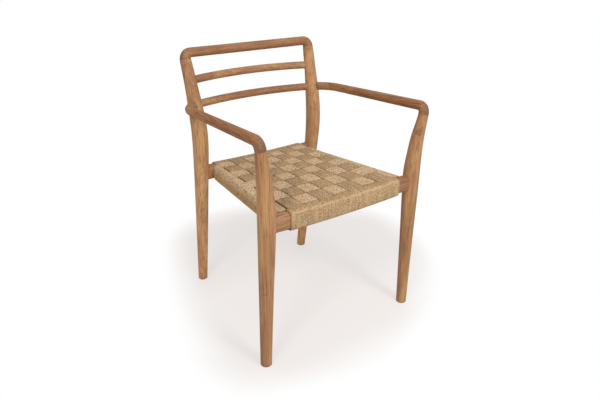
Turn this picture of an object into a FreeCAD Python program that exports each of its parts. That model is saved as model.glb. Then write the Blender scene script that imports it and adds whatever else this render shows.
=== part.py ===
import FreeCAD, Part
import math
import os
from FreeCAD import Vector as V

# Teak garden chair: round tapered legs, round arms and back bars, and a seat woven from cord.
# Millimetres. +Z up, the front toward -Y. Left and right are those of someone who stands in
# front and faces the chair, so right is +X.
# Places along Y are measured back from the line through the front feet, and build() then
# moves every piece so that the origin is the middle of the footprint, on the floor.

os.makedirs("parts", exist_ok=True)

# Front legs
front_foot_x = 259.0
front_foot_radius = 15.8
front_leg_waist_height = 445.0
front_leg_waist_x = 247.2
front_leg_waist_forward = 4.6
front_leg_waist_radius = 23.6
front_leg_top_radius = 14.2

# Back legs
back_foot_x = 210.0
back_foot_y = 499.0
back_foot_radius = 15.2
back_leg_knee_height = 520.0
back_leg_knee_x = 210.0
back_leg_knee_y = 427.5
back_leg_knee_radius = 23.8
back_leg_top_x = 216.6
back_leg_top_y = 468.4
back_leg_top_drop = 23.5
back_leg_top_radius = 16.2

# Feet
foot_bevel = 2.6

# Top rail
top_rail_radius = 13.8
top_rail_rise = 76.0
top_elbow_bend = 18.5

# Back slats
slat_radius = 11.6
upper_slat_rise = 68.7
upper_slat_bow = 41.0
lower_slat_drop = 1.2
lower_slat_bow = 34.0

# Armrests
arm_rear_radius = 12.8
arm_front_radius = 13.8
arm_rear_height = 630.0
arm_front_height = 650.0
arm_front_x = 266.6
arm_front_forward = 15.5
arm_rear_bend = 85.0
arm_rear_bend_forward = 81.0
arm_rear_turn = 52.0
arm_elbow_bend = 18.5
arm_straight_x = 260.5
arm_straight_y = 262.0

# Heights up the back: the lower slat is level with the armrests' rear ends, the upper slat
# and the top rail stand above it, and the posts end below the top rail
lower_slat_height = arm_rear_height - lower_slat_drop
upper_slat_height = lower_slat_height + upper_slat_rise
top_rail_height = upper_slat_height + top_rail_rise
back_leg_top_height = top_rail_height - back_leg_top_drop

# Seat rails
rail_height = 46.0
rail_depth = 26.0
rail_edge_radius = 8.0
side_rail_width = 24.0
front_rail_y = -5.0
front_rail_top = 452.3
back_rail_y = 442.0
back_rail_top = 436.9
seat_dish = 6.5
side_rail_front_x = 200.0
side_rail_back_x = 157.0

# Woven cord
cord_diameter = 2.8
cord_gap = 0.3
front_wrap_half = 187.0
back_wrap_half = 165.0

# Tenons and dowels
rail_tenon_width = 12.0
rail_tenon_height = 30.0
rail_tenon_reach = 15.0
side_tenon_width = 10.0
side_tenon_height = 24.0
side_tenon_reach = 14.0
slat_tenon_radius = 7.0
slat_tenon_reach = 14.0
arm_dowel_radius = 5.0
arm_dowel_length = 32.0
crest_dowel_radius = 5.0
crest_dowel_length = 36.0
joint_clearance = 0.15

# Lengths that only have to run past what they cut
overrun = 40.0

# Level circles that carry each leg's outline, and circles round each elbow
leg_sections = 14
elbow_sections = 6

# Closeness at which two sizes count as the same
same = 1e-6

# Outline of the legs: share of the height, of the sideways and fore-and-aft way, and of the
# change in radius, each from the lower named station to the upper one
front_lower_shares = ((0.50, 0.49, 0.46), (0.87, 0.90, 0.90))
front_upper_shares = ((0.12, 0.00, 0.03), (0.52, 0.29, 0.42), (0.80, 0.67, 0.76))
back_lower_shares = ((0.42, 0.45, 0.44), (0.79, 0.83, 0.80), (0.93, 0.96, 0.96))
back_upper_shares = ((0.12, 0.02, 0.01), (0.30, 0.12, 0.10), (0.65, 0.51, 0.60))


def mix(a, b, share):
    return a + (b - a) * share


def circle(centre, normal, radius):
    return Part.Wire([Part.Circle(centre, normal, radius).toShape()])


def mirrored(shape):
    return shape.mirror(V(0, 0, 0), V(1, 0, 0))


def widest(shape):
    # The largest solid of a cut that may leave offcuts
    return max(shape.Solids, key=lambda s: s.Volume)


def unit(v):
    w = V(v)
    w.normalize()
    return w


def stations(low, high, shares):
    # Points and radii between two named stations (point, radius)
    out = []
    for height_share, place_share, radius_share in shares:
        p, q = low[0], high[0]
        at = V(mix(p.x, q.x, place_share), mix(p.y, q.y, place_share), mix(p.z, q.z, height_share))
        out.append((at, mix(low[1], high[1], radius_share)))
    return out


def on_outline(path, height):
    # Centre and radius at a height, eased through the stations of a leg
    rows = [(at.z, at.x, at.y, radius) for at, radius in path]
    k = 0
    while k < len(rows) - 2 and rows[k + 1][0] < height:
        k += 1
    low, high = rows[k], rows[k + 1]
    before, after = rows[max(k - 1, 0)], rows[min(k + 2, len(rows) - 1)]
    span = high[0] - low[0]
    t = (height - low[0]) / span
    values = []
    for j in (1, 2, 3):
        rise_low = (high[j] - before[j]) / (high[0] - before[0]) * span
        rise_high = (after[j] - low[j]) / (after[0] - low[0]) * span
        value = (2 * t ** 3 - 3 * t ** 2 + 1) * low[j] + (t ** 3 - 2 * t ** 2 + t) * rise_low
        value += (3 * t ** 2 - 2 * t ** 3) * high[j] + (t ** 3 - t ** 2) * rise_high
        values.append(value)
    return V(values[0], values[1], height), values[2]


def turned(path, last_normal):
    # A turned post through level circles at even heights, its last circle square to what
    # it carries
    foot, top = path[0][0].z, path[-1][0].z
    rings = []
    for k in range(leg_sections):
        at, radius = on_outline(path, mix(foot, top, k / leg_sections))
        rings.append(circle(at, V(0, 0, 1), radius))
    rings.append(circle(path[-1][0], last_normal, path[-1][1]))
    return Part.makeLoft(rings, True, False)


def rounded_foot(leg, foot, next_station, radius):
    # The foot's lower rim rounded off, by a ring turned about the leg's own line
    inner, outer = radius - foot_bevel, radius + foot_bevel
    mid = foot_bevel * (1 - math.sqrt(0.5))
    arc = Part.Arc(V(inner, 0, 0), V(radius - mid, 0, mid), V(radius, 0, foot_bevel)).toShape()
    rest = Part.makePolygon([V(radius, 0, foot_bevel), V(outer, 0, foot_bevel),
                             V(outer, 0, -foot_bevel), V(inner, 0, -foot_bevel), V(inner, 0, 0)])
    ring = Part.Face(Part.Wire(Part.__sortEdges__([arc] + rest.Edges)))
    ring = ring.revolve(V(0, 0, 0), V(0, 0, 1), 360)
    turn = FreeCAD.Rotation(V(0, 0, 1), next_station - foot)
    ring.Placement = FreeCAD.Placement(foot, turn)
    return widest(leg.cut(ring))


def elbow(corner, toward_bar, toward_post, bend, bar_radius, post_radius):
    # A quarter bend of the given centre-line radius, swelling from the bar to the post.
    # Returns the solid, and where it meets the bar and the post.
    a, b = unit(toward_bar), unit(toward_post)
    turn = math.pi - a.getAngle(b)
    reach = bend * math.tan(turn / 2)
    start = corner + a * reach
    end = corner + b * reach
    centre = corner + unit(a + b) * (bend / math.cos(turn / 2))
    axis = unit((start - centre).cross(end - centre))
    rings = []
    for k in range(elbow_sections + 1):
        share = k / elbow_sections
        spin = FreeCAD.Rotation(axis, math.degrees(turn) * share)
        spoke = spin.multVec(start - centre)
        tangent = unit(axis.cross(spoke))
        rings.append(circle(centre + spoke, tangent, mix(bar_radius, post_radius, share)))
    return Part.makeLoft(rings, True, False), start, end


def bar(start, end, radius_start, radius_end):
    # A straight round bar, tapering if the radii differ
    way = end - start
    if abs(radius_start - radius_end) < same:
        return Part.makeCylinder(radius_start, way.Length, start, way)
    return Part.makeCone(radius_start, radius_end, way.Length, start, way)


# Stations of the legs, right side
front_foot = V(front_foot_x, 0, 0)
front_waist = V(front_leg_waist_x, -front_leg_waist_forward, front_leg_waist_height)
arm_corner = V(arm_front_x, -arm_front_forward, arm_front_height)
back_foot = V(back_foot_x, back_foot_y, 0)
back_knee = V(back_leg_knee_x, back_leg_knee_y, back_leg_knee_height)
back_top = V(back_leg_top_x, back_leg_top_y, back_leg_top_height)

# Direction of each leg where it ends, from the last shares of its outline
front_lean = arm_corner - V(mix(front_waist.x, arm_corner.x, front_upper_shares[-2][1]),
                            mix(front_waist.y, arm_corner.y, front_upper_shares[-2][1]),
                            mix(front_waist.z, arm_corner.z, front_upper_shares[-2][0]))
back_lean = back_top - stations((back_knee, 0), (back_top, 0), back_upper_shares)[-1][0]
front_lean, back_lean = unit(front_lean), unit(back_lean)


def leg_path(foot, waist, top, lower_shares, upper_shares):
    # Stations of a whole leg, each station (point, radius)
    path = [foot] + stations(foot, waist, lower_shares) + [waist]
    return path + stations(waist, top, upper_shares) + [top]


def back_path(top):
    return leg_path((back_foot, back_foot_radius), (back_knee, back_leg_knee_radius), top,
                    back_lower_shares, back_upper_shares)


def post_centre(height):
    # Centre of the right back post at a height
    return on_outline(back_path((back_top, back_leg_top_radius)), height)[0]


def arm():
    # Right armrest: out of the post, round the rear bend, straight forward, down the elbow
    straight = V(arm_straight_x, arm_straight_y, 0)
    front = V(arm_corner.x, arm_corner.y, 0)
    run_back = unit(straight - front)
    rise = (arm_front_height - arm_rear_height) / (post_centre(arm_rear_height).y - arm_corner.y)
    forward = unit(V(-run_back.x, -run_back.y, rise))
    solid, bar_end, seam = elbow(arm_corner, forward * -1, front_lean * -1, arm_elbow_bend,
                                 arm_front_radius, front_leg_top_radius)
    # The rear bend starts a named way ahead of the post's centre
    bend_y = post_centre(arm_rear_height).y - arm_rear_bend_forward
    way = (bar_end.y - bend_y) / forward.y
    bend_start = bar_end - forward * way
    side = unit(V(0, 0, 1).cross(forward * -1))
    inward = side if side.x < 0 else side * -1
    centre = bend_start + inward * arm_rear_bend
    axis = unit((bend_start - centre).cross(forward * -1))
    ring = circle(bend_start, forward, arm_rear_radius)
    face = Part.Face(ring)
    bend = face.revolve(centre, axis, arm_rear_turn)
    main = bar(bend_start, bar_end, arm_rear_radius, arm_front_radius)
    spin = FreeCAD.Rotation(axis, arm_rear_turn)
    bend_end = centre + spin.multVec(bend_start - centre)
    out_way = spin.multVec(forward * -1)
    return [solid, main, bend], seam, bend_end, out_way


def dished_bar(half_length, y, top, height, depth, edge_radius, dish):
    # A rounded bar along X whose top and bottom dip by the dish in the middle
    ends = (top, top - height)
    arcs = []
    for z in ends:
        left, mid, right = V(-half_length, y, z), V(0, y, z - dish), V(half_length, y, z)
        arcs.append(Part.Arc(left, mid, right).toShape())
    a, b = arcs
    sides = [Part.makeLine(V(s * half_length, y, ends[0]), V(s * half_length, y, ends[1]))
             for s in (-1, 1)]
    face = Part.Face(Part.Wire(Part.__sortEdges__([a, sides[1], b, sides[0]])))
    solid = face.extrude(V(0, depth, 0))
    solid.translate(V(0, -depth / 2, 0))
    long_edges = [e for e in solid.Edges if e.BoundBox.XLength > half_length]
    return solid.makeFillet(edge_radius, long_edges)


# The dish is one arc for rails and weave: its ends lie at the front leg's waist
dish_half = front_leg_waist_x
dish_radius = (dish_half ** 2 + seat_dish ** 2) / (2 * seat_dish)


def dish_drop(x):
    # How far the dished top lies under its ends, at a place across the seat
    return seat_dish - (dish_radius - math.sqrt(dish_radius ** 2 - x ** 2))


def cross_rail(y, top, grow):
    # Front or back rail, or with grow the space round it
    return dished_bar(dish_half, y, top + grow, rail_height + 2 * grow, rail_depth + 2 * grow,
                      rail_edge_radius + grow, seat_dish)


side_rail_front_y = front_rail_y + rail_depth / 2
side_rail_back_y = back_rail_y - rail_depth / 2
layer = cord_diameter + cord_gap


def seat_top(y):
    # Height of the cross rails' tops, carried along the seat from front to back
    return mix(front_rail_top, back_rail_top, (y - front_rail_y) / (back_rail_y - front_rail_y))


def side_rail(grow, front_y, back_y):
    # Right side rail, or with grow the space round it, between two places along the seat
    places = []
    for y in (side_rail_front_y, side_rail_back_y):
        share = (y - side_rail_front_y) / (side_rail_back_y - side_rail_front_y)
        x = mix(side_rail_front_x, side_rail_back_x, share)
        places.append(V(x, y, seat_top(y) - dish_drop(x) - layer))
    slope = (places[1] - places[0]) * (1 / (places[1].y - places[0].y))
    start = places[0] + slope * (front_y - places[0].y)
    wide = side_rail_width + 2 * grow
    tall = rail_height + 2 * grow
    block = Part.makeBox(wide, (back_y - front_y), tall, V(-wide / 2, 0, -rail_height - grow))
    edges = [e for e in block.Edges if e.BoundBox.YLength > (back_y - front_y) / 2]
    profile = [f for f in block.makeFillet(rail_edge_radius + grow, edges).Faces
               if f.BoundBox.YMax < same][0]
    profile.translate(start)
    return profile.extrude(slope * (back_y - front_y))


def band(lift, front_y, back_y, front_half, back_half):
    # A dished layer of cords one diameter thick, tapering in plan, its underside lifted
    # above the line of the rails' tops
    z = seat_top(front_y) + lift
    rim = []
    for up in (0, cord_diameter):
        left = V(-dish_half, front_y, z + up)
        mid = V(0, front_y, z + up - seat_dish)
        right = V(dish_half, front_y, z + up)
        rim.append(Part.Arc(left, mid, right).toShape())
    sides = [Part.makeLine(V(s * dish_half, front_y, z), V(s * dish_half, front_y, z + cord_diameter))
             for s in (-1, 1)]
    face = Part.Face(Part.Wire(Part.__sortEdges__([rim[0], sides[1], rim[1], sides[0]])))
    sheet = face.extrude(V(0, back_y - front_y, seat_top(back_y) - seat_top(front_y)))
    plan = [V(-front_half, front_y, 0), V(front_half, front_y, 0),
            V(back_half, back_y, 0), V(-back_half, back_y, 0)]
    prism = Part.Face(Part.makePolygon(plan + plan[:1])).extrude(V(0, 0, back_leg_top_height))
    return sheet.common(prism)


def slab(half_width, y_from, y_to):
    # A block that keeps only the wrapped length of a rail
    return Part.makeBox(2 * half_width, y_to - y_from, back_leg_top_height, V(-half_width, y_from, 0))


def sleeve(y, top, half):
    # Cords round a cross rail, as a tube one diameter thick
    outer = cross_rail(y, top, cord_gap + cord_diameter)
    inner = cross_rail(y, top, cord_gap)
    reach = rail_depth + layer
    return outer.cut(inner).common(slab(half, y - reach, y + reach))


def box_tenon(centre, along, wide, deep, tall, clearance):
    # A square-ended tenon along X or Y, centred, grown by the clearance
    w, d, t = (wide, deep, tall)
    size = (d + 2 * clearance, w + 2 * clearance) if along == "x" else (w + 2 * clearance, d + 2 * clearance)
    corner = V(centre.x - size[0] / 2, centre.y - size[1] / 2, centre.z - t / 2 - clearance)
    return Part.makeBox(size[0], size[1], t + 2 * clearance, corner)


def slat(height, bow):
    # A round bar bowed to the rear between the posts' centres
    end = post_centre(height)
    radius = (end.x ** 2 + bow ** 2) / (2 * bow)
    centre = V(0, end.y + bow - radius, height)
    half_angle = math.asin(end.x / radius)
    tangent = V(math.cos(half_angle), -math.sin(half_angle), 0)
    rod = Part.Face(circle(end, tangent, slat_radius))
    rod = rod.revolve(centre, V(0, 0, 1), 2 * math.degrees(half_angle))
    return rod, end, tangent


def build():
    pieces = {}

    # Armrest and front leg, seamed at the elbow's lower end
    arm_parts, arm_seam, arm_end, arm_way = arm()
    arm_solid = arm_parts[0].fuse(arm_parts[1:]).removeSplitter()
    path = leg_path((front_foot, front_foot_radius), (front_waist, front_leg_waist_radius),
                    (arm_seam, front_leg_top_radius), front_lower_shares, front_upper_shares)
    front_leg = turned(path, front_lean)
    front_leg = rounded_foot(front_leg, front_foot, path[1][0], front_foot_radius)

    # Top rail with both elbows, and the back leg up to its seam
    crest_corner = back_top + back_lean * ((top_rail_height - back_top.z) / back_lean.z)
    crest_elbow, crest_bar, crest_seam = elbow(crest_corner, V(-1, 0, 0), back_lean * -1,
                                               top_elbow_bend, top_rail_radius,
                                               back_leg_top_radius)
    crest_left = V(-crest_bar.x, crest_bar.y, crest_bar.z)
    crest = crest_elbow.fuse([bar(crest_left, crest_bar, top_rail_radius, top_rail_radius),
                              mirrored(crest_elbow)]).removeSplitter()
    path = back_path((crest_seam, back_leg_top_radius))
    back_leg = turned(path, back_lean)
    back_leg = rounded_foot(back_leg, back_foot, path[1][0], back_foot_radius)

    # Dowels across the two seams and from the arm into the post
    def dowel(middle, way, radius, length, grow):
        start = middle - unit(way) * (length / 2 + grow)
        return Part.makeCylinder(radius + grow, length + 2 * grow, start, way)

    arm_front = (arm_seam, front_lean, arm_dowel_radius, arm_dowel_length)
    arm_rear = (arm_end, arm_way, arm_dowel_radius, arm_dowel_length)
    crest_pin = (crest_seam, back_lean, crest_dowel_radius, crest_dowel_length)

    # Seat rails and their tenons
    front_leg_raw, back_leg_raw = front_leg.copy(), back_leg.copy()
    rails = {}
    for name, leg_raw, y, top in (("front", front_leg_raw, front_rail_y, front_rail_top),
                                  ("back", back_leg_raw, back_rail_y, back_rail_top)):
        both = leg_raw.fuse(mirrored(leg_raw))
        rails[name] = widest(cross_rail(y, top, 0).cut(both))
    tenons = {}
    for name, y, top, leg_x, leg_radius in (
            ("front", front_rail_y, front_rail_top, front_leg_waist_x, front_leg_waist_radius),
            ("back", back_rail_y, back_rail_top, back_leg_knee_x, back_leg_knee_radius)):
        inner = leg_x - leg_radius
        middle = V(inner, y, top - rail_height / 2 - dish_drop(inner))
        tenons[name] = (middle, "x", rail_tenon_width, 2 * rail_tenon_reach, rail_tenon_height)
    front_leg = front_leg.cut(box_tenon(*tenons["front"], joint_clearance))
    back_leg = back_leg.cut(box_tenon(*tenons["back"], joint_clearance))
    for name in rails:
        tenon = box_tenon(*tenons[name], 0)
        rails[name] = rails[name].fuse([tenon, mirrored(tenon)]).removeSplitter()

    # Side rails, tenoned into the front and back rails
    side = side_rail(0, side_rail_front_y, side_rail_back_y)
    for y, x, name in ((side_rail_front_y, side_rail_front_x, "front"),
                       (side_rail_back_y, side_rail_back_x, "back")):
        middle = V(x, y, seat_top(y) - dish_drop(x) - layer - rail_height / 2)
        spec = (middle, "y", side_tenon_width, 2 * side_tenon_reach, side_tenon_height)
        side = side.fuse(box_tenon(*spec, 0)).removeSplitter()
        hole = box_tenon(*spec, joint_clearance)
        rails[name] = rails[name].cut([hole, mirrored(hole)])

    # Slats, coped to the posts, with round tenons
    slats = {}
    for name, height, bow in (("upper_slat", upper_slat_height, upper_slat_bow),
                              ("lower_slat", lower_slat_height, lower_slat_bow)):
        rod, end, tangent = slat(height, bow)
        rod = widest(rod.cut(back_leg_raw.fuse(mirrored(back_leg_raw))))
        root = end - tangent * (back_leg_knee_radius + slat_tenon_reach)
        tip = end - tangent * (back_leg_knee_radius - slat_tenon_reach)
        tenon = bar(root, tip, slat_tenon_radius, slat_tenon_radius)
        hole = bar(root, tip + tangent * joint_clearance,
                   slat_tenon_radius + joint_clearance, slat_tenon_radius + joint_clearance)
        slats[name] = rod.fuse([tenon, mirrored(tenon)]).removeSplitter()
        back_leg = back_leg.cut(hole)

    # Armrest: coped to the post, bored for its dowels
    arm_solid = widest(arm_solid.cut(back_leg_raw))
    arm_solid = arm_solid.cut([dowel(*arm_front, joint_clearance), dowel(*arm_rear, joint_clearance)])
    front_leg = front_leg.cut(dowel(*arm_front, joint_clearance))
    back_leg = back_leg.cut([dowel(*arm_rear, joint_clearance), dowel(*crest_pin, joint_clearance)])
    pin = dowel(*crest_pin, joint_clearance)
    crest = crest.cut([pin, mirrored(pin)])
    arm_dowels = [dowel(*arm_front, 0), dowel(*arm_rear, 0)]
    crest_dowel = dowel(*crest_pin, 0)

    # Cords: the front-to-back layer lies over the side-to-side layer and wraps the cross rails
    warp = band(cord_gap, front_rail_y, back_rail_y, front_wrap_half, back_wrap_half)
    joint_reach = rail_depth + layer
    joint_corner = V(side_rail_back_x - side_rail_width / 2 - cord_gap,
                     side_rail_back_y + cord_gap - joint_reach, 0)
    joint_room = Part.makeBox(joint_reach, joint_reach, back_leg_top_height, joint_corner)
    rear_sleeve = sleeve(back_rail_y, back_rail_top, back_wrap_half)
    rear_sleeve = rear_sleeve.cut([joint_room, mirrored(joint_room)])
    warp = warp.fuse([sleeve(front_rail_y, front_rail_top, front_wrap_half), rear_sleeve])
    warp = warp.removeSplitter()
    weft_front = side_rail_front_y + layer + cord_gap
    weft_back = side_rail_back_y - layer - cord_gap
    weft = band(-cord_diameter, weft_front, weft_back, side_rail_front_x, side_rail_back_x)
    side_space = side_rail(cord_gap, weft_front - overrun, weft_back + overrun)
    side_cords = side_rail(layer, weft_front, weft_back).cut(side_space)
    weft = weft.fuse([side_cords, mirrored(side_cords)])
    weft = weft.cut([side_space, mirrored(side_space)]).removeSplitter()

    pieces["front_leg_right"] = front_leg
    pieces["front_leg_left"] = mirrored(front_leg)
    pieces["back_leg_right"] = back_leg
    pieces["back_leg_left"] = mirrored(back_leg)
    pieces["top_rail"] = crest
    pieces["upper_slat"] = slats["upper_slat"]
    pieces["lower_slat"] = slats["lower_slat"]
    pieces["armrest_right"] = arm_solid
    pieces["armrest_left"] = mirrored(arm_solid)
    pieces["seat_rail_front"] = rails["front"]
    pieces["seat_rail_back"] = rails["back"]
    pieces["seat_rail_right"] = side
    pieces["seat_rail_left"] = mirrored(side)
    pieces["seat_cords_front_to_back"] = warp
    pieces["seat_cords_side_to_side"] = weft
    pieces["arm_dowels"] = Part.makeCompound(arm_dowels + [mirrored(d) for d in arm_dowels])
    pieces["crest_dowels"] = Part.makeCompound([crest_dowel, mirrored(crest_dowel)])

    # The origin goes to the middle between the arm elbows' front and the back feet's rear
    rear = back_foot_y + back_foot_radius
    front = -arm_front_forward - arm_front_radius
    shift = V(0, -(front + rear) / 2, 0)
    for shape in pieces.values():
        shape.translate(shift)
    return pieces


for node, shape in build().items():
    shape.exportStep("parts/" + node + ".step")
    print(node, "valid", shape.isValid(), "solids", len(shape.Solids), "mm3", round(shape.Volume))
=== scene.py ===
"""Looks of the teak garden armchair: oiled wood, a seat of twisted cord and a plain studio."""

import math
import random

import bmesh
import bpy
import numpy as np
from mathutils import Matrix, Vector


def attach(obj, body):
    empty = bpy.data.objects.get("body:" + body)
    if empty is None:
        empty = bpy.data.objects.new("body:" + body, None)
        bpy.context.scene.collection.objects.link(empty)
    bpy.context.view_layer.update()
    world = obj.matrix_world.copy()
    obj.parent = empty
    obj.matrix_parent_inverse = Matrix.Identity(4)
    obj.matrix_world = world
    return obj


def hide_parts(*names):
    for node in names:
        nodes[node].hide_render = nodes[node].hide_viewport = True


bl_info = {
    "name": "Teak Garden Armchair",
    "version": (1, 0, 0),
    "blender": (4, 5, 0),
    "location": "3D View > Sidebar > Armchair",
    "description": "Finishes the wood, weaves the cord seat and lights a garden armchair",
    "category": "Object",
}

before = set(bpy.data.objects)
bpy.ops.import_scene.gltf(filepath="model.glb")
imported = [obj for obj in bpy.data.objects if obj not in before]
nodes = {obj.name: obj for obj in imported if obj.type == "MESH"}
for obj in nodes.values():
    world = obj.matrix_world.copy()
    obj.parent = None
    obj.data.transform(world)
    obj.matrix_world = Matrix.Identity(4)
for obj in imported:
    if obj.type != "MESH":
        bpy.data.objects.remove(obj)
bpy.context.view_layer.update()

# The seat's frame, in metres, in the place that the CAD model gives it
SEAT_START = -0.24245
FRONT_RAIL = {"y": -0.24745, "top": 0.4523}
BACK_RAIL = {"y": 0.19955, "top": 0.4369}
RAIL_HALF_DEPTH = 0.013
SIDE_RAIL_HALF = 0.012
RAIL_HEIGHT = 0.046
RAIL_EDGE = 0.008
SIDE_RAIL_FRONT = Vector((0.200, -0.23445))
SIDE_RAIL_BACK = Vector((0.157, 0.18655))
CORD_LAYER = 0.0031
CORD_CLEARANCE = 0.0003
DISH = 0.0065
DISH_HALF = 0.2472
DISH_RADIUS = (DISH_HALF ** 2 + DISH ** 2) / (2 * DISH)

# The weave: seven columns that taper to the back, and eight rows
COLUMNS = 7
COLUMN_FRONT = 0.0511
COLUMN_TAPER = 0.014
ROW_EDGES = (-0.2306, -0.1722, -0.1146, -0.0569, -0.0078, 0.0450, 0.0939, 0.1434, 0.1846)
ROW_CORDS = (18, 18, 18, 16, 17, 15, 16, 13)
WRAP_FRONT, WRAP_BACK = -0.2344, 0.1860
UNDERLAY = 0.0010

# The cords' turns round the rails. They start under a rail's top, on its inner face, but beyond
# the limit on the back rail they start under it. A painted highlight of lighter cord runs along
# the front edge's ridge, and the turns round the side rails get painted shade on their outer faces.
TURN_START = 0.0062
BACK_INNER_LIMIT = 0.1415
RIDGE_DEPTH, RIDGE_HALF = 0.0032, 0.0008
LOOSE_TURN_STEP = 0.0032
SIDE_TURN_PAINTED_SHADE = 0.140

# A cord climbs or dives over this length to each side of a block's edge
CLIMB_HALF = 0.0026

# The crevices between columns close over this length before the front and the back rail
CREVICE_PAST = 0.004
CREVICE_FRONT, CREVICE_BACK = 0.016, 0.014

# Beyond the outermost column the cords close up and fan out to their places on the side rail. In
# the first row they do so earlier, and in the seat's corners they lie a little deeper.
LANDING_LEAST = 0.0035
CLOSING_HALF = 0.003
FAN_START, FAN_EARLY, FAN_LEAST, FAN_PAST = 0.004, 0.014, 0.004, 0.001
CORNER_SINK = 0.0019
CORNER_CORDS = 3

SIDES = (("left", -1), ("right", 1))

# Small knots in the front legs: the place, the size across and along the grain, and the strength
KNOTS = {
    "left": (((-0.2693, -0.2563, 0.2410), 0.0040, 0.0044, 0.62),
             ((-0.2635, -0.2615, 0.2410), 0.0040, 0.0044, 0.75),
             ((-0.2690, -0.2563, 0.2640), 0.0036, 0.0200, 0.50)),
    "right": (((0.2442, -0.2636, 0.5830), 0.0110, 0.0130, 0.55),
              ((0.2439, -0.2651, 0.5745), 0.0100, 0.0042, 0.50)),
}


class CordSettings(bpy.types.PropertyGroup):
    diameter: bpy.props.FloatProperty(
        name="Cord diameter", description="Thickness of one seat cord", default=0.0030,
        min=0.002, max=0.004, unit="LENGTH")
    cords_per_column: bpy.props.IntProperty(
        name="Cords per column", description="Front-to-back cords side by side in one block",
        default=16, min=8, max=20)
    block_gap: bpy.props.FloatProperty(
        name="Block gap", description="Crevice between two blocks of the weave",
        default=0.0038, min=0.0, max=0.006, unit="LENGTH")
    crown: bpy.props.FloatProperty(
        name="Crown", description="How far the middle of a block stands up",
        default=0.0012, min=0.0, max=0.003, unit="LENGTH")
    unevenness: bpy.props.FloatProperty(
        name="Unevenness", description="How far a hand-laid cord strays from its line",
        default=0.00022, min=0.0, max=0.001, unit="LENGTH")
    seed: bpy.props.IntProperty(
        name="Seed", description="Changes where the cords stray", default=11)
    lay: bpy.props.FloatProperty(
        name="Lay", description="Length along the cord of one full turn of its twist",
        default=0.0115, min=0.004, max=0.04, unit="LENGTH")
    # The front-to-back cords are the same cord as the side-to-side ones; their darker colour is
    # painted shade for how light falls along their blocks
    long_colour: bpy.props.FloatVectorProperty(
        name="Front-to-back cord", description="Colour of the cords that run front to back",
        subtype="COLOR", size=3, default=(0.625, 0.434, 0.244), min=0, max=1)
    cross_colour: bpy.props.FloatVectorProperty(
        name="Side-to-side cord", description="Colour of the cords that run side to side",
        subtype="COLOR", size=3, default=(0.710, 0.506, 0.314), min=0, max=1)


class TeakSettings(bpy.types.PropertyGroup):
    pale: bpy.props.FloatVectorProperty(
        name="Pale teak", description="Lightest tone of the wood", subtype="COLOR", size=3,
        default=(0.530, 0.301, 0.131), min=0, max=1)
    warm: bpy.props.FloatVectorProperty(
        name="Warm teak", description="Middle tone of the wood", subtype="COLOR", size=3,
        default=(0.380, 0.183, 0.088), min=0, max=1)
    dark: bpy.props.FloatVectorProperty(
        name="Dark teak", description="Tone of the streaks and late rings", subtype="COLOR",
        size=3, default=(0.190, 0.083, 0.038), min=0, max=1)
    ring_spacing: bpy.props.FloatProperty(
        name="Ring spacing", description="Distance between two growth rings",
        default=0.0027, min=0.001, max=0.02, unit="LENGTH")


class StageSettings(bpy.types.PropertyGroup):
    focal_length: bpy.props.FloatProperty(
        name="Focal length", description="Of the camera, on a 36 mm sensor", default=32.06,
        min=10, max=200)
    key_power: bpy.props.FloatProperty(
        name="Key light", description="Power of the lamp at the left front", default=22.5,
        min=0, max=500, subtype="POWER")
    fill_power: bpy.props.FloatProperty(
        name="Fill light", description="Power of the lamp in front", default=29.5,
        min=0, max=500, subtype="POWER")
    back_power: bpy.props.FloatProperty(
        name="Back light", description="Power of the weak lamp behind the chair", default=9.0,
        min=0, max=500, subtype="POWER")
    ambient: bpy.props.FloatProperty(
        name="Ambient", description="Strength of the even light from all round",
        default=0.44, min=0, max=2)


class Signal:
    """A shader value that Python's own operators work on."""

    def __init__(self, board, socket):
        self.board = board
        self.socket = socket

    def maths(self, operation, first, second=None):
        values = {n: v for n, v in enumerate((first, second)) if v is not None}
        return self.board.add("ShaderNodeMath", "Value", {"operation": operation}, values)

    def __add__(self, other):
        return self.maths("ADD", self, other)

    def __radd__(self, other):
        return self.maths("ADD", other, self)

    def __sub__(self, other):
        return self.maths("SUBTRACT", self, other)

    def __rsub__(self, other):
        return self.maths("SUBTRACT", other, self)

    def __mul__(self, other):
        return self.maths("MULTIPLY", self, other)

    def __rmul__(self, other):
        return self.maths("MULTIPLY", other, self)

    def __truediv__(self, other):
        return self.maths("DIVIDE", self, other)

    def __pow__(self, other):
        return self.maths("POWER", self, other)

    def fraction(self):
        return self.maths("FRACT", self)

    def whole(self):
        return self.maths("FLOOR", self)

    def sine(self):
        return self.maths("SINE", self)

    def size(self):
        return self.maths("ABSOLUTE", self)

    def at_least(self, limit):
        return self.maths("MAXIMUM", self, limit)

    def at_most(self, limit):
        return self.maths("MINIMUM", self, limit)

    def between(self, low, high):
        """0 below low, 1 above high, and smooth from one to the other."""
        return self.board.add("ShaderNodeMapRange", "Result",
                              {"interpolation_type": "SMOOTHSTEP"},
                              {"Value": self, "From Min": low, "From Max": high,
                               "To Min": 0.0, "To Max": 1.0})


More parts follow.
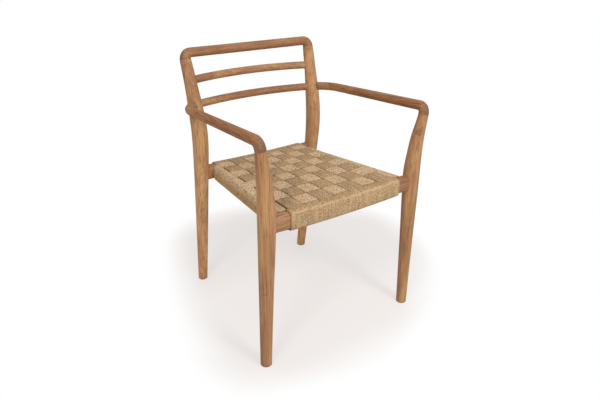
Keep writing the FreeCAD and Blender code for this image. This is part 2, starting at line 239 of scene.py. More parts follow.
class Board:
    """The node board of one material or world."""

    def __init__(self, owner):
        self.owner = owner
        owner.use_nodes = True
        self.tree = owner.node_tree
        self.tree.nodes.clear()

    def add(self, kind, output, settings=None, inputs=None):
        """Any node: its settings first, then the values or links of its sockets."""
        node = self.tree.nodes.new(kind)
        for name, value in (settings or {}).items():
            setattr(node, name, value)
        for name, value in (inputs or {}).items():
            socket = node.inputs[name]
            if isinstance(value, Signal):
                self.tree.links.new(value.socket, socket)
            elif socket.type == "RGBA" and len(value) == 3:
                socket.default_value = (*value, 1.0)
            else:
                socket.default_value = value
        if output is None:
            return node
        return Signal(self, node.outputs[output])

    def place(self):
        return self.add("ShaderNodeTexCoord", "Object")

    def map_width(self):
        return self.add("ShaderNodeUVMap", "UV", {"uv_map": "UVMap"})

    def facing(self):
        return self.add("ShaderNodeTexCoord", "Normal")

    def parts(self, vector):
        node = self.add("ShaderNodeSeparateXYZ", None, inputs={"Vector": vector})
        return [Signal(self, node.outputs[n]) for n in "XYZ"]

    def joined(self, x, y, z):
        return self.add("ShaderNodeCombineXYZ", "Vector", inputs={"X": x, "Y": y, "Z": z})

    def vector(self, operation, first, second, output="Vector"):
        return self.add("ShaderNodeVectorMath", output, {"operation": operation},
                        {0: first, 1: second})

    def turned(self, vector, turn):
        return self.add("ShaderNodeMapping", "Vector", {"vector_type": "POINT"},
                        {"Vector": vector, "Rotation": turn})

    def noise(self, vector, scale, detail=2.0, rough=0.5, warp=0.0):
        return self.add("ShaderNodeTexNoise", "Fac", {"noise_dimensions": "3D"},
                        {"Vector": vector, "Scale": scale, "Detail": detail,
                         "Roughness": rough, "Distortion": warp})

    def mix(self, share, first, second, blend="MIX"):
        node = self.add("ShaderNodeMix", None, {"data_type": "RGBA", "blend_type": blend})
        sockets = {s.identifier: s for s in node.inputs}
        for key, value in (("Factor_Float", share), ("A_Color", first), ("B_Color", second)):
            if isinstance(value, Signal):
                self.tree.links.new(value.socket, sockets[key])
            elif key == "Factor_Float":
                sockets[key].default_value = value
            else:
                sockets[key].default_value = (*value, 1.0)
        colour = next(s for s in node.outputs if s.identifier == "Result_Color")
        return Signal(self, colour)

    def times(self, colour, factor):
        return self.mix(1.0, colour, self.joined(factor, factor, factor), "MULTIPLY")

    def bump(self, height, depth, strength):
        return self.add("ShaderNodeBump", "Normal", inputs={
            "Height": height, "Distance": depth, "Strength": strength})

    def surface(self, shader):
        self.add("ShaderNodeOutputMaterial", None, inputs={"Surface": shader})


def scaled(colour, factors):
    """A colour with each of its parts multiplied, and none of them over 1."""
    return tuple(min(1.0, c * k) for c, k in zip(colour, factors))


def added(name, data):
    """A new object in the scene."""
    thing = bpy.data.objects.new(name, data)
    bpy.context.scene.collection.objects.link(thing)
    return thing


def grain_turn(axis):
    """Rotation that brings a piece's grain onto the pattern's own Z."""
    return Vector(axis).normalized().rotation_difference(Vector((0, 0, 1))).to_euler()


def teak(name, axis, centre, heart, warmth, tint, seams=(), foot=0.0, lean=(0, 0, 0),
         figure=0.68, lower_painted_light=0.0, ruddy=0.0, gilt=0.5, greyed=0.0, knots=()):
    """Oiled teak with its grain along axis. The rings' own middle lies at heart, beside centre.

    warmth goes from pale to warm wood, and tint is a factor on its tones. seams holds the levels
    of thin joint lines. foot gives a leg its worn rim and darkens it towards the floor,
    lower_painted_light lightens it there as painted light where the seat shades it, and ruddy
    reddens its upper part. lean is the change of tone per metre across and along the grain,
    figure the strength of the dark streaks, gilt the play between golden and pinkish grain, and
    greyed the grey mottling at the far end of the grain, partly weathered wood and partly a
    painted sheen.
    """
    settings = bpy.context.scene.armchair_teak
    pale, warm, dark = (scaled(getattr(settings, n), tint) for n in ("pale", "warm", "dark"))
    board = Board(bpy.data.materials.new(name))
    here = board.place()
    moved = board.vector("SUBTRACT", here, centre)
    wood = board.turned(moved, grain_turn(axis))
    x, y, z = board.parts(wood)

    def drawn_out(across, along, *looks):
        """Noise with so many features per metre across and along the grain."""
        return board.noise(board.joined(x * across, y * across, z * along), 1.0, *looks)

    # Growth rings, bent a little as a tree's are
    sway = drawn_out(9.0, 2.6, 2.0)
    sway_more = drawn_out(60.0, 14.0, 3.0)
    rx = x - heart[0] + (sway - 0.5) * 0.022
    ry = y - heart[1] + (sway_more - 0.5) * 0.0060
    radius = (rx * rx + ry * ry) ** 0.5
    ring = (radius / settings.ring_spacing).fraction()
    late = ring.between(0.25, 0.90) * (1.0 - ring.between(0.92, 1.0))
    early = 1.0 - ring.between(0.0, 0.35)
    ring_strength = board.noise(board.joined(radius * 90.0, 0.0, z * 3.5), 1.0, 2.0)

    # Slow change of tone, blotches, streaks, fine fibres and pores
    drift = drawn_out(24.0, 2.0, 2.5)
    drift = drift + x * lean[0] + y * lean[1] + z * lean[2]
    blotch = drawn_out(62.0, 17.0, 3.0, 0.55, 0.6)
    streak = drawn_out(300.0, 9.0, 3.0, 0.62)
    fibre = drawn_out(1500.0, 42.0, 3.0, 0.65)
    pore = drawn_out(2400.0, 95.0, 1.0).between(0.58, 0.68) * (0.40 + 0.60 * early)

    light = scaled(pale, (1.16, 1.20, 1.26))
    russet = scaled(warm, (0.86, 0.72, 0.66))
    tone = board.mix((drift + (warmth - 0.5) * 0.6).between(0.40, 0.60), pale, warm)
    tone = board.mix((blotch + (warmth - 0.5) * 0.5).between(0.48, 0.72) * 0.55, tone, russet)
    tone = board.mix((1.0 - blotch).between(0.56, 0.76) * 0.30, tone, pale)
    tone = board.mix(late * (0.06 + 0.30 * ring_strength.between(0.40, 0.70)), tone, dark)
    tone = board.mix(streak.between(0.50, 0.68) * figure, tone, dark)
    tone = board.mix((1.0 - streak).between(0.52, 0.70) * 0.50, tone, light)
    tone = board.mix(pore * 0.55, tone, scaled(dark, (0.55, 0.55, 0.55)))
    # Some grain runs golden, some a greyer pink
    hue = drawn_out(55.0, 4.0, 2.0)
    shade = board.mix(hue.between(0.40, 0.60), (0.995, 1.01, 0.93), (1.01, 0.98, 1.06))
    tone = board.mix(gilt, tone, shade, "MULTIPLY")
    tone = board.times(tone, 0.78 + 0.44 * fibre)

    for place, wide, high, share in knots:
        dx, dy, dz = board.parts(board.vector("SUBTRACT", here, place))
        far = ((dx * dx + dy * dy) / wide ** 2 + dz * dz / high ** 2) ** 0.5
        spot = 1.0 - (far + (blotch - 0.5)).between(0.35, 1.0)
        tone = board.mix(spot * share, tone, dark)

    # End grain drinks more oil, so it is darker and redder; on the elbows this darkening is also
    # painted shade. The grey clouds where it begins are partly weathered grain and partly a
    # painted sheen.
    along = board.vector("DOT_PRODUCT", board.facing(), tuple(Vector(axis).normalized()), "Value")
    ends = along.size().between(0.25, 0.90)
    tone = board.mix(ends * 0.85, tone, scaled(settings.warm, (0.43, 0.47, 0.50)))
    cloud = board.noise(here, 330.0, 3.0, 0.65)
    turning = along.size().between(0.30, 0.70)
    tone = board.mix(turning * cloud.between(0.52, 0.64) * 0.55, tone,
                     scaled(settings.warm, (1.08, 1.42, 1.80)))

    # Grey mottling at the far end of the grain: partly weathered wood, partly a painted sheen
    if greyed:
        weather_and_sheen = drawn_out(190.0, 30.0, 4.0, 0.7)
        share = weather_and_sheen.between(0.44, 0.62) * z.between(0.03, 0.19) * greyed
        tone = board.mix(share, tone, scaled(settings.warm, (1.12, 1.42, 2.10)))
    height = board.parts(here)[2]
    if ruddy:
        tone = board.mix(height.between(0.46, 0.63) * ruddy, tone, (0.84, 0.76, 0.80), "MULTIPLY")
    for level in seams:
        line = 1.0 - (height - level).size().between(0.0001, 0.0007)
        tone = board.mix(line * 0.45, tone, scaled(dark, (0.35, 0.35, 0.35)))
    if foot:
        tone = board.mix((1.0 - height.between(0.0, 0.32)) * foot, tone, dark)
        worn = 1.0 - height.between(0.0015, 0.009)
        tone = board.mix(worn * 0.42, tone, scaled(dark, (0.8, 0.8, 0.8)))
    # Painted light: the lower part is lightened where the seat shades it
    if lower_painted_light:
        tone = board.times(tone, 1.0 + lower_painted_light * (1.0 - height.between(0.0, 0.50)))

    rough = 0.44 + 0.16 * fibre + 0.10 * pore - 0.05 * late + 0.14 * blotch.between(0.40, 0.62)
    relief = fibre * 0.35 + late * 0.25 - pore * 0.9
    normal = board.bump(relief, 0.00016, 0.55)
    shader = board.add("ShaderNodeBsdfPrincipled", "BSDF", inputs={
        "Base Color": tone, "Roughness": rough, "Normal": normal,
        "Specular IOR Level": 0.36})
    board.surface(shader)
    return board.owner


def twisted_cord(name, colour, seed, contrast):
    """Matt cord of three plies, laid out on the piece's own map: x is its length in metres.

    The attributes tell the cords apart (strand) and how deep one lies, which gives painted shade,
    with a painted highlight along the front ridge (painted_shade_and_highlight).
    """
    settings = bpy.context.scene.armchair_cord
    board = Board(bpy.data.materials.new(name))
    along, around = board.parts(board.map_width())[:2]
    here = board.place()
    strand = board.add("ShaderNodeAttribute", "Fac", {"attribute_name": "strand"})
    painted_shade_and_highlight = board.add("ShaderNodeAttribute", "Fac", {"attribute_name": "painted_shade_and_highlight"})

    plies = around * 3.0 + along * (3.0 / settings.lay)
    ply = (plies * math.pi).sine().size()
    groove = 1.0 - ply.between(0.0, 0.55)
    fibre = board.noise(board.joined(plies * 5.0, along * 260.0, strand * 40.0), 1.0, 3.0, 0.7)
    turn_tone = board.add("ShaderNodeTexWhiteNoise", "Value", {"noise_dimensions": "3D"}, {
        "Vector": board.joined((plies * 2.0).whole(), strand * 977.0, seed)})
    fleck = board.noise(here, 900.0, 3.0, 0.80)
    patch = board.noise(here, 105.0, 3.0, 0.6)
    slow = board.noise(board.joined(along * 22.0, strand * 61.0, seed), 1.0, 2.0)

    light = scaled(colour, (1.22, 1.25, 1.28))
    bright = scaled(colour, (1.46, 1.52, 1.58))
    deep = scaled(colour, (0.46, 0.39, 0.31))
    shadow_tone = scaled(colour, (0.28, 0.22, 0.17))
    amber = scaled(colour, (1.02, 0.88, 0.62))
    # The cords' turned-down front is calmer than the seat, and there each cord shows as a stripe
    calm = 1.0 - board.parts(here)[1].between(-0.262, -0.250)
    contrast = contrast * (1.0 - calm * 0.30)
    tone = board.mix((strand * 0.25 + slow * 0.75).between(0.25, 0.75) * 0.6, colour, light)
    tone = board.mix(patch.between(0.50, 0.70) * 0.22, tone, amber)
    tone = board.mix((1.0 - strand).between(0.85, 1.0) * 0.12, tone, deep)
    tone = board.mix(fibre.between(0.52, 0.74) * 0.45, tone, deep)
    tone = board.mix(fleck.between(0.51, 0.61) * 0.66 * contrast, tone, deep)
    tone = board.mix((1.0 - fleck).between(0.54, 0.68) * 0.55, tone, light)
    tone = board.mix((1.0 - turn_tone).between(0.57, 0.78) * (contrast * 0.92), tone, deep)
    tone = board.mix(turn_tone.between(0.45, 0.85) * 0.44 * contrast, tone, bright)
    tone = board.mix(strand.between(0.30, 0.90) * calm * 0.19, tone, bright)
    # Painted shade in the grooves between the plies
    tone = board.mix(groove * 0.85, tone, shadow_tone)
    # Painted shade where a cord runs under the others and on the side turns, and a painted
    # highlight along the front ridge
    tone = board.mix(painted_shade_and_highlight.between(0.0, 0.12), tone, (1.0, 0.87, 0.64), "MULTIPLY")
    tone = board.mix(painted_shade_and_highlight.between(0.0, 0.40) * 0.95, tone, shadow_tone)
    tone = board.mix((0.0 - painted_shade_and_highlight).between(0.10, 1.0) * 0.28, tone, bright)

    relief = ply ** 0.6 + fibre * 0.30 + fleck * 0.15
    normal = board.bump(relief, 0.00042, 0.8)
    shader = board.add("ShaderNodeBsdfPrincipled", "BSDF", inputs={
        "Base Color": tone, "Roughness": 0.82 - 0.10 * ply, "Normal": normal,
        "Specular IOR Level": 0.25})
    board.surface(shader)
    return board.owner


def dress(node, material):
    """Gives a CAD node its finish. Its mesh and place stay as they are."""
    piece = nodes[node]
    if not piece.material_slots:
        piece.data.materials.append(material)
    for slot in piece.material_slots:
        slot.material = material


def rail_line(y):
    """Height of the cross rails' tops, carried along the seat."""
    share = (y - FRONT_RAIL["y"]) / (BACK_RAIL["y"] - FRONT_RAIL["y"])
    return FRONT_RAIL["top"] + (BACK_RAIL["top"] - FRONT_RAIL["top"]) * share


def dip(x):
    """How far the dished seat lies under its own ends."""
    return DISH - (DISH_RADIUS - math.sqrt(DISH_RADIUS ** 2 - x ** 2))


def side_rail(y):
    """Middle of the right side rail at a place along the seat."""
    share = (y - SIDE_RAIL_FRONT.y) / (SIDE_RAIL_BACK.y - SIDE_RAIL_FRONT.y)
    return SIDE_RAIL_FRONT.x + (SIDE_RAIL_BACK.x - SIDE_RAIL_FRONT.x) * share


def column_width(y):
    return COLUMN_FRONT - COLUMN_TAPER * (y - SEAT_START)


def smooth(t):
    t = max(0.0, min(1.0, t))
    return t * t * (3 - 2 * t)


def grip_of(settings):
    """How far a cord's middle lies off the wood that it is wound on."""
    return CORD_CLEARANCE + UNDERLAY + settings.diameter / 2


def puffed(settings, crown, side, level):
    """How far the middle of a block stands up on top, or hangs down under the other cords."""
    return settings.crown * crown * (0.20 + 0.80 * side) * (1 if level else -0.5)


def arc(across, level, way, bend, turns):
    """Places round one edge of a rail, turned up from the way that it faces, in degrees."""
    return [(across + way * bend * math.cos(math.radians(turn)),
             level + bend * math.sin(math.radians(turn))) for turn in turns]


def round_rail(middle, top, half, outward, grip, inner=True):
    """Places of a cord round a rail, from the inner face down, under, up and onto its top."""
    bend = RAIL_EDGE + grip
    low = top - RAIL_HEIGHT + RAIL_EDGE
    near, far = middle - outward * (half - RAIL_EDGE), middle + outward * (half - RAIL_EDGE)
    if inner:
        places = [(middle - outward * (half + grip), top - TURN_START)]
        places += arc(near, low, -outward, bend, (0, -45, -90))
    else:
        places = [(near, low - bend)]
    places += arc(far, low, outward, bend, (-90, -60, -30, 0))
    places.append((far + outward * bend, top - RAIL_HEIGHT / 2))
    return places + arc(far, top - RAIL_EDGE, outward, bend, (0, 22.5, 45, 67.5, 90))


def over_and_under(edges, levels, before, after):
    """Places along a cord, how high it runs there, from 0 under to 1 on top, and its crown."""
    places = []
    steps = [before, *levels, after]
    for n, edge in enumerate(edges):
        a, b = steps[n], steps[n + 1]
        if a == b:
            places.append((edge, a, 0.0))
        else:
            for t in (-1.0, -0.35, 0.35, 1.0):
                places.append((edge + t * CLIMB_HALF, a + (b - a) * smooth((t + 1) / 2), 0.0))
        if n + 1 < len(edges):
            span = edges[n + 1] - edge
            for share in (0.33, 0.67):
                places.append((edge + span * share, b, math.sin(math.pi * share)))
    return places


def cord_mesh(name, lines, loops, radius, seed):
    """Tubes along the lines as one mesh. Its map holds length in metres and the way round.

    A place on a line is its x, y and z, the cord's thickness there as a share, and its painted
    shade from how sunk it is; below 0 it is a painted highlight.
    """
    pick = random.Random(seed)
    cords = [(points, False) for points in lines] + [(points, True) for points in loops]
    curve = bpy.data.curves.new(name, "CURVE")
    curve.dimensions = "3D"
    curve.bevel_depth = radius
    curve.bevel_resolution = 2
    curve.twist_mode = "MINIMUM"
    for points, closed in cords:
        spline = curve.splines.new("POLY")
        spline.points.add(len(points) - 1)
        for point, place in zip(spline.points, points):
            point.co = (*place[:3], 1.0)
            point.radius = place[3]
        spline.use_cyclic_u = closed
    holder = added(name + "_line", curve)
    bpy.context.view_layer.update()
    shown = holder.evaluated_get(bpy.context.evaluated_depsgraph_get())
    mesh = bpy.data.meshes.new_from_object(shown)
    bpy.data.objects.remove(holder)
    mesh.name = name

    # The map's first number becomes length, and each cord gets a number of its own. A bevel
    # resolution of 2 gives a tube of 8 sides, and each of their faces has 4 loops.
    sides = 8
    layer = mesh.uv_layers[0]
    layer.name = "UVMap"
    uv = np.zeros(len(mesh.loops) * 2)
    layer.data.foreach_get("uv", uv)
    uv = uv.reshape(-1, 2)
    strand = np.zeros(len(mesh.vertices))
    painted_shade_and_highlight = np.zeros(len(mesh.vertices))
    loop_at, vertex_at = 0, 0
    for points, closed in cords:
        path = [Vector(place[:3]) for place in (points + points[:1] if closed else points)]
        steps = [0.0] + [(b - a).length for a, b in zip(path, path[1:])]
        reach = np.cumsum(steps) + pick.random() * 0.5
        loop_end = loop_at + (len(path) - 1) * sides * 4
        vertex_end = vertex_at + len(points) * sides
        part = uv[loop_at:loop_end]
        part[:, 0] = reach[np.rint(part[:, 0] * (len(path) - 1)).astype(int)]
        part[:, 1] += pick.randint(0, sides - 1) / sides
        strand[vertex_at:vertex_end] = pick.random()
        painted_shade_and_highlight[vertex_at:vertex_end] = np.repeat([place[4] for place in points], sides)
        loop_at, vertex_at = loop_end, vertex_end
    if loop_at != len(mesh.loops) or vertex_at != len(mesh.vertices):
        raise RuntimeError(f"{name}: the cords' mesh isn't laid out as expected")
    layer.data.foreach_set("uv", uv.ravel())
    for label, values in (("strand", strand), ("painted_shade_and_highlight", painted_shade_and_highlight)):
        mesh.attributes.new(label, "FLOAT", "POINT").data.foreach_set("value", values)

    # The ends of the cords are closed
    work = bmesh.new()
    work.from_mesh(mesh)
    open_edges = [e for e in work.edges if e.is_boundary]
    bmesh.ops.holes_fill(work, edges=open_edges, sides=sides)
    bmesh.ops.recalc_face_normals(work, faces=work.faces)
    for face in work.faces:
        face.smooth = len(face.verts) == 4
    work.to_mesh(mesh)
    work.free()
    return mesh


def hang(name, mesh, material, slot, *stands_for):
    """Puts a finished piece in the scene, on the chair's one body."""
    mesh.materials.clear()
    mesh.materials.append(material)
    piece = added(name, mesh)
    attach(piece, "root")
    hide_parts(*stands_for)


class ARMCHAIR_OT_legs(bpy.types.Operator):
    """Finish the four legs in oiled teak with upright grain"""
    bl_idname = "armchair.legs"
    bl_label = "Finish Legs"
    bl_options = {"REGISTER", "UNDO"}

    def execute(self, context):
        for side, way in SIDES:
            # The front legs' lean across the grain makes their left sides darker and warmer: partly
            # the grain's figure, partly painted shade
            dress(f"front_leg_{side}", teak(
                f"teak_front_leg_{side}", (way * 0.006, -0.014, 0.628),
                (way * 0.252, -0.245, 0.3), (way * 0.045, 0.060), 0.35,
                (1.01, 0.98, 0.95), seams=(0.628,), foot=0.05,
                lean=(-6.0, 0, -0.15), figure=0.58, ruddy=1.0, gilt=1.0,
                knots=KNOTS[side]))
            # The back legs' lower part gets painted light where the seat shades it
            dress(f"back_leg_{side}", teak(
                f"teak_back_leg_{side}", (way * 0.006, -0.030, 0.750),
                (way * 0.211, 0.205, 0.4 - 0.37 * way), (way * 0.030, -0.085),
                0.50 + 0.03 * way, (1.10, 1.08, 1.05),
                seams=(0.750,), foot=0.01, lower_painted_light=0.54))
        return {"FINISHED"}


class ARMCHAIR_OT_back(bpy.types.Operator):
    """Finish the top rail and the two slats in oiled teak"""
    bl_idname = "armchair.back"
    bl_label = "Finish Back"
    bl_options = {"REGISTER", "UNDO"}

    def execute(self, context):
        dress("top_rail", teak("teak_top_rail", (1, 0, 0), (0.07, 0.225, 0.773),
                               (0.050, 0.030), 0.62, (0.97, 0.93, 0.88)))
        dress("upper_slat", teak("teak_upper_slat", (1, 0, 0), (-0.11, 0.225, 0.697),
                                 (0.020, 0.070), 0.52, (1.0, 0.97, 0.96)))
        dress("lower_slat", teak("teak_lower_slat", (1, 0, 0), (0.19, 0.225, 0.629),
                                 (-0.060, 0.035), 0.56, (0.97, 0.91, 0.88)))
        return {"FINISHED"}


class ARMCHAIR_OT_arms(bpy.types.Operator):
    """Finish the two armrests in darker oiled teak"""
    bl_idname = "armchair.arms"
    bl_label = "Finish Armrests"
    bl_options = {"REGISTER", "UNDO"}

    def execute(self, context):
        for side, way in SIDES:
            dress(f"armrest_{side}", teak(
                f"teak_armrest_{side}", (way * -0.035, 0.450, -0.018),
                (way * 0.260, 0.02 * way, 0.642), (way * 0.040, 0.048), 0.60,
                (0.92, 0.80, 0.62), figure=0.90, gilt=0.2, greyed=0.75 if way < 0 else 0.15))
        return {"FINISHED"}


class ARMCHAIR_OT_rails(bpy.types.Operator):
    """Finish the seat rails and the hidden dowels"""
    bl_idname = "armchair.rails"
    bl_label = "Finish Seat Rails"
    bl_options = {"REGISTER", "UNDO"}

    def execute(self, context):
        for name, y, z in (("front", -0.247, 0.425), ("back", 0.200, 0.410)):
            dress(f"seat_rail_{name}", teak(
                f"teak_seat_rail_{name}", (1, 0, 0), (0.05, y, z), (0.060, 0.020), 0.56,
                (0.90, 0.88, 0.91), lean=(0, 0, 0.95), figure=0.90, gilt=1.0))
        for side, way in SIDES:
            dress(f"seat_rail_{side}", teak(
                f"teak_seat_rail_{side}", (way * -0.043, 0.421, -0.014),
                (way * 0.180, -0.02, 0.418), (0.050, 0.030), 0.60, (0.95, 0.95, 0.95)))
        bare = teak("teak_dowels", (0, 0, 1), (0, 0, 0.6), (0.02, 0.02), 0.3, (1.15, 1.15, 1.15))
        for name in ("arm_dowels", "crest_dowels"):
            dress(name, bare)
        return {"FINISHED"}


class ARMCHAIR_OT_long_cords(bpy.types.Operator):
    """Weave the cords that run front to back and wrap the front and back rails"""
    bl_idname = "armchair.long_cords"
    bl_label = "Weave Front-to-Back Cords"
    bl_options = {"REGISTER", "UNDO"}

    def line(self, settings, column, number, pick):
        """One cord from the front rail's inner face over the seat to the back rail's."""
        grip = grip_of(settings)
        share = (number + 0.5) / settings.cords_per_column
        stray = (pick.uniform(-1, 1), pick.uniform(-1, 1), pick.uniform(0, 6.28))
        levels = [1 if (row + column) % 2 == 0 else 0 for row in range(len(ROW_CORDS))]

        def across(y, gap):
            width = column_width(y)
            wander = 0.6 * stray[0] + 0.8 * math.sin(y * 95.0 + stray[2])
            wander *= 0.25 if gap == 0 else 1.0
            return ((column - (COLUMNS - 1) / 2) * width + (share - 0.5) * (width - gap)
                    + wander * settings.unevenness)

        lift = stray[1] * settings.unevenness
        points = []
        x = across(FRONT_RAIL["y"], 0)
        top = FRONT_RAIL["top"] - dip(x)
        for y, z in round_rail(FRONT_RAIL["y"], top, RAIL_HALF_DEPTH, -1, grip):
            # A painted highlight along the front edge's ridge
            ridge = abs(z - top - grip + RIDGE_DEPTH) < RIDGE_HALF
            points.append((x, y, z, -1.0 if ridge else 0.0))
        side = math.sin(math.pi * share)
        for y, level, crown in over_and_under(ROW_EDGES, levels, 1, 1):
            open_share = min(1.0, (y - FRONT_RAIL["y"] - CREVICE_PAST) / CREVICE_FRONT,
                             (BACK_RAIL["y"] + CREVICE_PAST - y) / CREVICE_BACK)
            x = across(y, settings.block_gap * max(0.0, open_share))
            base = rail_line(y) - dip(x)
            high = base + grip + lift
            low = base + grip - CORD_LAYER + lift * 0.5
            puff = puffed(settings, crown, side, level)
            # Where it runs under, the cord gets painted shade
            points.append((x, y, low + (high - low) * level + puff, 1.0 - level))
        x = across(BACK_RAIL["y"], 0)
        wrap = round_rail(BACK_RAIL["y"], BACK_RAIL["top"] - dip(x), RAIL_HALF_DEPTH, 1, grip,
                          abs(x) < BACK_INNER_LIMIT)
        points += [(x, y, z, 0.0) for y, z in reversed(wrap)]
        room = settings.cords_per_column * settings.diameter
        return [(x, y, z, min(1.06, column_width(y) / room), painted_shade_and_highlight) for x, y, z, painted_shade_and_highlight in points]

    def loop(self, rail, x, pick, settings):
        """One turn round a cross rail beside the outer columns, and whether it closes."""
        grip = grip_of(settings)
        outward = -1 if rail is FRONT_RAIL else 1
        top = rail["top"] - dip(x)
        closed = rail is FRONT_RAIL or abs(x) < BACK_INNER_LIMIT
        places = round_rail(rail["y"], top, RAIL_HALF_DEPTH, outward, grip, closed)
        near = rail["y"] - outward * (RAIL_HALF_DEPTH - RAIL_EDGE)
        places += arc(near, top - RAIL_EDGE, -outward, RAIL_EDGE + grip,
                      (90, 45, 0) if closed else (90, 45))
        if closed:
            places = places[1:]
        wander = pick.uniform(-1, 1) * settings.unevenness
        return [(x + wander, y, z, 1.0, 0.0) for y, z in places], closed

    def execute(self, context):
        settings = context.scene.armchair_cord
        pick = random.Random(settings.seed)
        lines = [self.line(settings, column, number, pick)
                 for column in range(COLUMNS)
                 for number in range(settings.cords_per_column)]
        loops = []
        for rail in (FRONT_RAIL, BACK_RAIL):
            edge = COLUMNS / 2 * column_width(rail["y"])
            for way in (-1, 1):
                for number in range(2):
                    x = way * (edge + (number + 0.5) * LOOSE_TURN_STEP)
                    points, closed = self.loop(rail, x, pick, settings)
                    (loops if closed else lines).append(points)
        mesh = cord_mesh("seat_weave_front_to_back", lines, loops, settings.diameter / 2,
                         settings.seed)
        # The darker front-to-back colour is painted shade
        hang("seat_weave_front_to_back", mesh,
             twisted_cord("cord_front_to_back", tuple(settings.long_colour), 3.0, 1.35),
             "cord_long", "seat_cords_front_to_back")
        return {"FINISHED"}


class ARMCHAIR_OT_cross_cords(bpy.types.Operator):
    """Weave the cords that run side to side and wrap the side rails"""
    bl_idname = "armchair.cross_cords"
    bl_label = "Weave Side-to-Side Cords"
    bl_options = {"REGISTER", "UNDO"}

    def half(self, settings, row, number, total, stray):
        """The right half of one cord, from the seat's middle to the side rail's inner face."""
        grip = grip_of(settings)
        start, end = ROW_EDGES[row], ROW_EDGES[row + 1]
        share = (number + 0.5) / ROW_CORDS[row]
        inside = start + settings.block_gap / 2 + share * (end - start - settings.block_gap)
        spread = start + share * (end - start)
        before = sum(ROW_CORDS[:row]) + number + 0.5
        from_rail = min(before, total - before)
        outside = WRAP_FRONT + (WRAP_BACK - WRAP_FRONT) * before / total
        side = math.sin(math.pi * share)
        width = column_width(inside)
        middle = (COLUMNS - 1) // 2
        levels = [1 if (row + column) % 2 else 0 for column in range(middle, COLUMNS)]
        rail_x = side_rail(outside)
        edges = [(n + 0.5) * width for n in range(middle + 1)]
        last = edges[-1]
        points = [(0.0, levels[0], 1.0), (edges[0] * 0.5, levels[0], 0.7)]
        run = over_and_under(edges, levels[1:], levels[0], levels[-1])
        points += run[:-1] if levels[-1] else run
        landing = max(rail_x - SIDE_RAIL_HALF + RAIL_EDGE, last + LANDING_LEAST)
        landing = min(landing, rail_x + SIDE_RAIL_HALF - RAIL_EDGE)
        for t in (0.0, 0.35, 0.7, 1.0) if levels[-1] else (0.15, 0.5, 0.85):
            level = 1.0 - smooth(t) if levels[-1] else 0.0
            points.append((last + (landing - last) * t, level, 0.0))
        # The cords beside the front rail move up to it before they leave their column
        early = 1.0 - share if row == 0 else 0.0
        begin = last - FAN_START - FAN_EARLY * early
        settled = rail_x - (rail_x - last + FAN_PAST) * early
        places = []
        for x, level, crown in points:
            t = smooth((x - begin) / max(FAN_LEAST, settled - begin))
            closing = smooth((x - last + CLOSING_HALF) / (2 * CLOSING_HALF))
            y = inside + (spread - inside) * closing
            y += (outside - y) * t
            y += (stray[0] + 0.8 * math.sin(x * 90.0 + stray[2])) * settings.unevenness
            base = rail_line(y) - dip(min(x, rail_x))
            high = base + grip + stray[1] * settings.unevenness
            sink = CORNER_SINK * closing * max(0.0, 1.0 - (from_rail - 0.5) / CORNER_CORDS)
            low = base + grip - CORD_LAYER - sink
            puff = puffed(settings, crown, side, level)
            # Where it runs under, the cord gets painted shade
            depth = (1.0 - level) * (1.0 - closing)
            places.append((x, y, low + (high - low) * level + puff, 1.0, depth))
        # Of the turn round the side rail, the places that lie behind the landing are left out
        top = rail_line(outside) - dip(rail_x) - CORD_LAYER
        wrap = round_rail(rail_x, top, SIDE_RAIL_HALF, 1, grip)
        for x, z in reversed(wrap):
            if x > places[-1][0] + 0.0004 or z < top:
                # Painted shade on the turn's outer face, below the rail's top edge
                shade = SIDE_TURN_PAINTED_SHADE if z < top - RAIL_EDGE else 0.0
                places.append((x, outside, z, 1.0, shade))
        return places

    def execute(self, context):
        settings = context.scene.armchair_cord
        pick = random.Random(settings.seed + 5)
        total = sum(ROW_CORDS)
        lines = []
        for row, count in enumerate(ROW_CORDS):
            for number in range(count):
                halves = []
                for way in (-1, 1):
                    stray = (pick.uniform(-1, 1), pick.uniform(-1, 1), pick.uniform(0, 6.28))
                    half = self.half(settings, row, number, total, stray)
                    halves.append([(way * x, *rest) for x, *rest in half])
                left, right = halves
                lines.append(list(reversed(left[1:])) + right)
        mesh = cord_mesh("seat_weave_side_to_side", lines, [], settings.diameter / 2,
                         settings.seed + 5)
        hang("seat_weave_side_to_side", mesh,
             twisted_cord("cord_side_to_side", tuple(settings.cross_colour), 8.0, 0.90),
             "cord_cross", "seat_cords_side_to_side")
        return {"FINISHED"}


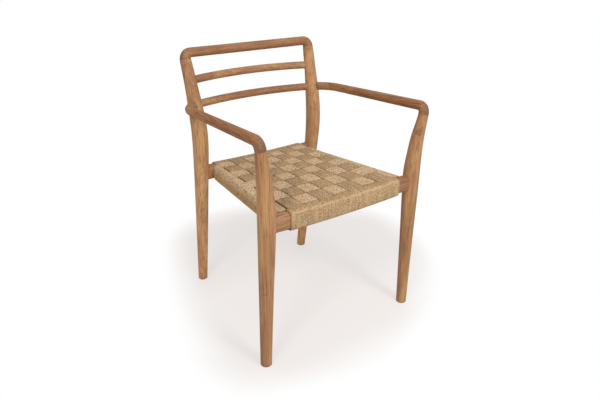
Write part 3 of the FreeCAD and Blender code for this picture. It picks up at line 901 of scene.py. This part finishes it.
class ARMCHAIR_OT_stage(bpy.types.Operator):
    """Set the pale floor, the soft lights, the white surroundings and the camera"""
    bl_idname = "armchair.stage"
    bl_label = "Set Stage"
    bl_options = {"REGISTER", "UNDO"}

    # The sides of the faint painted shadow on the floor: the way out across and back, and how far
    # out.
    # A way that is shorter than 1 gives that side a softer edge.
    SHADE_SIDES = ((-0.974, 0.227, 0.240), (-0.600, -0.800, 0.335), (0.0, -1.0, 0.270),
                   (0.626, -0.780, 0.315), (0.985, -0.174, 0.495), (0.475, 0.580, 0.395),
                   (-0.104, 0.743, 0.405), (-0.526, 0.381, 0.235))

    def floor(self):
        """A white floor with a faint warm painted shadow under the chair, which also takes its real
        shadow.
        """
        work = bmesh.new()
        bmesh.ops.create_grid(work, x_segments=1, y_segments=1, size=40.0)
        mesh = bpy.data.meshes.new("studio_floor")
        work.to_mesh(mesh)
        work.free()
        floor = added("studio_floor", mesh)
        board = Board(bpy.data.materials.new("studio_floor"))
        x, y = board.parts(board.place())[:2]
        outside = 0.0
        for across, back, reach in self.SHADE_SIDES:
            past = (x * across + y * back - reach).at_least(0.0)
            outside = past * past + outside
        painted_shadow_pool = 1.0 - (outside ** 0.5).between(0.0, 0.17)
        seen = board.add("ShaderNodeLightPath", "Is Camera Ray")
        tone = board.mix(seen, (0.80, 0.785, 0.77), (0.92, 0.885, 0.86))
        lit = board.add("ShaderNodeBsdfDiffuse", "BSDF", inputs={"Color": tone})
        # Under the chair the white glow is darkened: a painted shadow, mixed with the real one
        glow = board.mix(painted_shadow_pool, (1, 1, 1), (0.934, 0.898, 0.874))
        white = board.add("ShaderNodeEmission", "Emission", inputs={"Color": glow,
                                                                    "Strength": 1.0})
        shade = board.add("ShaderNodeMixShader", "Shader",
                          inputs={"Fac": seen * (1.0 - painted_shadow_pool * 0.34), 1: lit, 2: white})
        board.surface(shade)
        mesh.materials.append(board.owner)

    def lamp(self, name, azimuth, elevation, distance, width, power):
        light = bpy.data.lights.new(name, "AREA")
        light.shape = "DISK"
        light.size = width
        light.energy = power
        lamp = added(name, light)
        a, e = math.radians(azimuth), math.radians(elevation)
        aim = Vector((0.0, 0.0, 0.40))
        way = Vector((math.cos(a) * math.cos(e), math.sin(a) * math.cos(e), math.sin(e)))
        lamp.location = aim + way * distance
        lamp.rotation_euler = way.to_track_quat("Z", "Y").to_euler()

    def surroundings(self, strength):
        world = bpy.data.worlds.new("studio")
        bpy.context.scene.world = world
        board = Board(world)
        path = board.add("ShaderNodeLightPath", None)
        seen = Signal(board, path.outputs["Is Camera Ray"])
        mirrored = Signal(board, path.outputs["Is Glossy Ray"])
        through = Signal(board, path.outputs["Is Transmission Ray"])
        white = (seen + mirrored * 0.35 + through).at_most(1.0)
        level = strength + (1.0 - strength) * white
        shader = board.add("ShaderNodeBackground", "Background",
                           inputs={"Color": (1.0, 1.0, 1.0), "Strength": level})
        board.add("ShaderNodeOutputWorld", None, inputs={"Surface": shader})

    def execute(self, context):
        settings = context.scene.armchair_stage
        self.floor()
        self.lamp("key_lamp", 216, 42, 2.9, 0.75, settings.key_power)
        self.lamp("fill_lamp", 276, 36, 2.7, 0.75, settings.fill_power)
        self.lamp("back_lamp", 48, 48, 3.0, 2.2, settings.back_power)
        self.surroundings(settings.ambient)
        camera = added("camera", bpy.data.cameras.new("camera"))
        camera.location = (-0.8467, -1.2404, 1.0325)
        camera.rotation_euler = (math.radians(65.23), 0.0, math.radians(-35.12))
        camera.data.sensor_width = 36.0
        camera.data.lens = settings.focal_length
        context.scene.camera = camera
        context.scene.view_settings.view_transform = "Standard"
        return {"FINISHED"}


class ARMCHAIR_PT_panel(bpy.types.Panel):
    bl_label = "Teak Armchair"
    bl_idname = "ARMCHAIR_PT_panel"
    bl_space_type = "VIEW_3D"
    bl_region_type = "UI"
    bl_category = "Armchair"

    def draw(self, context):
        layout = self.layout
        for group, title in ((context.scene.armchair_teak, "Teak"),
                             (context.scene.armchair_cord, "Cord"),
                             (context.scene.armchair_stage, "Stage")):
            box = layout.box()
            box.label(text=title)
            for name in group.__annotations__:
                box.prop(group, name)
        for operator in OPERATORS:
            layout.operator(operator.bl_idname)


OPERATORS = (ARMCHAIR_OT_legs, ARMCHAIR_OT_back, ARMCHAIR_OT_arms, ARMCHAIR_OT_rails,
             ARMCHAIR_OT_long_cords, ARMCHAIR_OT_cross_cords, ARMCHAIR_OT_stage)
CLASSES = (CordSettings, TeakSettings, StageSettings, *OPERATORS, ARMCHAIR_PT_panel)


def register():
    for cls in CLASSES:
        bpy.utils.register_class(cls)
    bpy.types.Scene.armchair_cord = bpy.props.PointerProperty(type=CordSettings)
    bpy.types.Scene.armchair_teak = bpy.props.PointerProperty(type=TeakSettings)
    bpy.types.Scene.armchair_stage = bpy.props.PointerProperty(type=StageSettings)


def unregister():
    del bpy.types.Scene.armchair_stage
    del bpy.types.Scene.armchair_teak
    del bpy.types.Scene.armchair_cord
    for cls in reversed(CLASSES):
        bpy.utils.unregister_class(cls)


def main():
    register()
    bpy.ops.armchair.stage()
    bpy.ops.armchair.legs()
    bpy.ops.armchair.back()
    bpy.ops.armchair.arms()
    bpy.ops.armchair.rails()
    bpy.ops.armchair.long_cords()
    bpy.ops.armchair.cross_cords()


if __name__ == "__main__":
    main()
